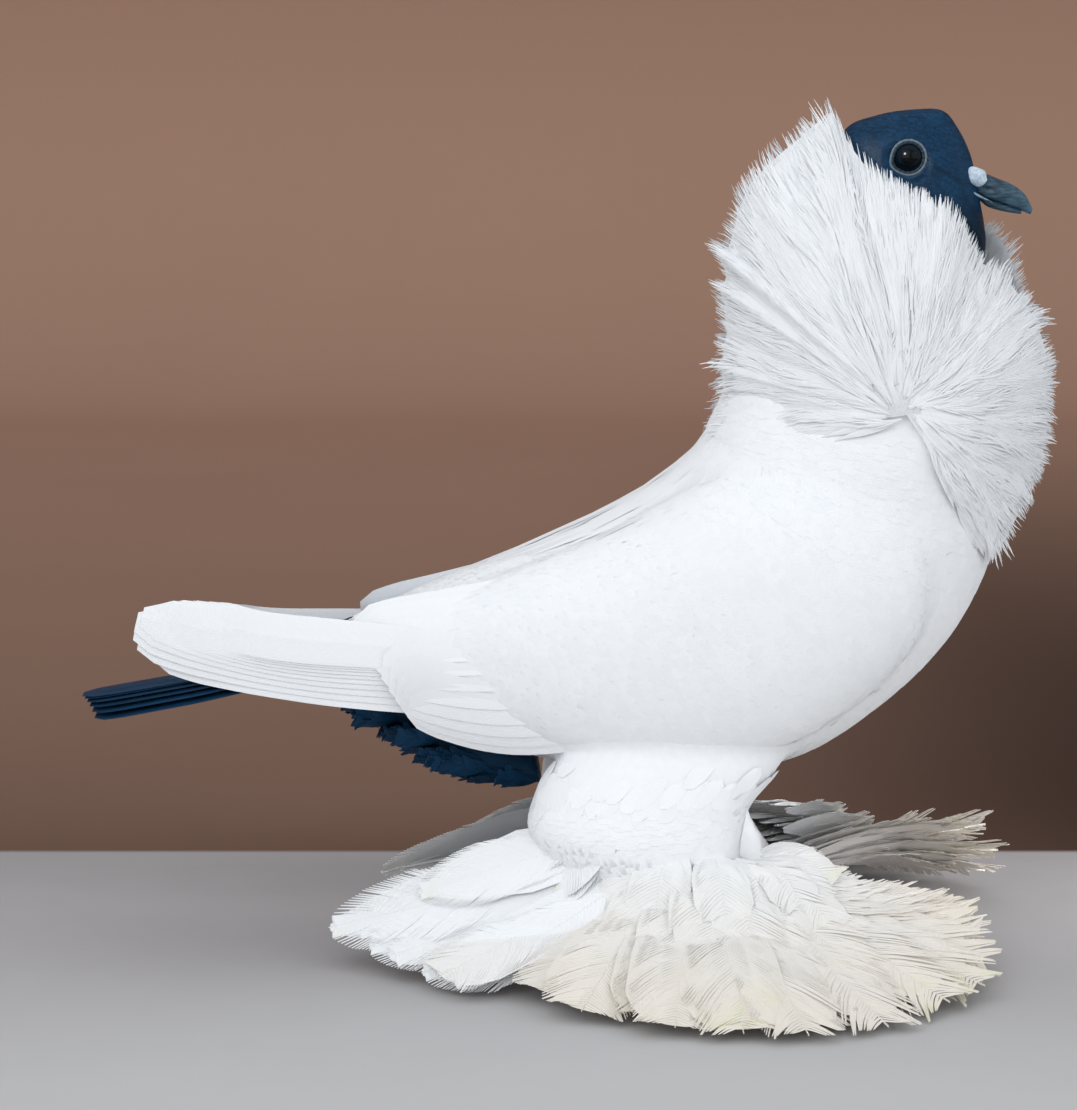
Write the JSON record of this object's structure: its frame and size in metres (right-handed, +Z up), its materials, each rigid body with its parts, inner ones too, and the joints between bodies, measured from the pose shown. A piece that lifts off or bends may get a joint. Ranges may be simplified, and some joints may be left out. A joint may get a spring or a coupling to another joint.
{
  "type": "schmalkalden moorhead pigeon",
  "caption": "Still life-size model of a standing white pigeon with a dark head and tail, a high ruffed mane round the neck and fanned feathers on its feet.",
  "frame": {"origin": "on the floor, under the middle of the whole bird's box", "axes": "+X the way the bird faces, +Y its left side, +Z up"},
  "size_m": [0.2952, 0.2476, 0.2541],
  "materials": {
    "white_feather": "soft matt",
    "cream_feather": "soft matt",
    "moor_feather": "satin",
    "horn": "satin horn",
    "cere_skin": "powdery",
    "eye_gloss": "wet gloss",
    "toe_skin": "dry skin"
  },
  "bodies": {
    "root": {"torso": "white_feather", "neck_mane": "white_feather", "head": "moor_feather", "bill_upper": "horn", "bill_lower": "horn", "cere": "cere_skin", "eye_right": "eye_gloss", "eye_left": "eye_gloss", "wing_right": "white_feather", "wing_left": "white_feather", "tail": "moor_feather", "undertail": "moor_feather", "leg_right": "white_feather", "leg_left": "white_feather", "muff_right": "cream_feather", "muff_left": "cream_feather", "foot_right": "toe_skin", "foot_left": "toe_skin"}
  },
  "joints": []
}
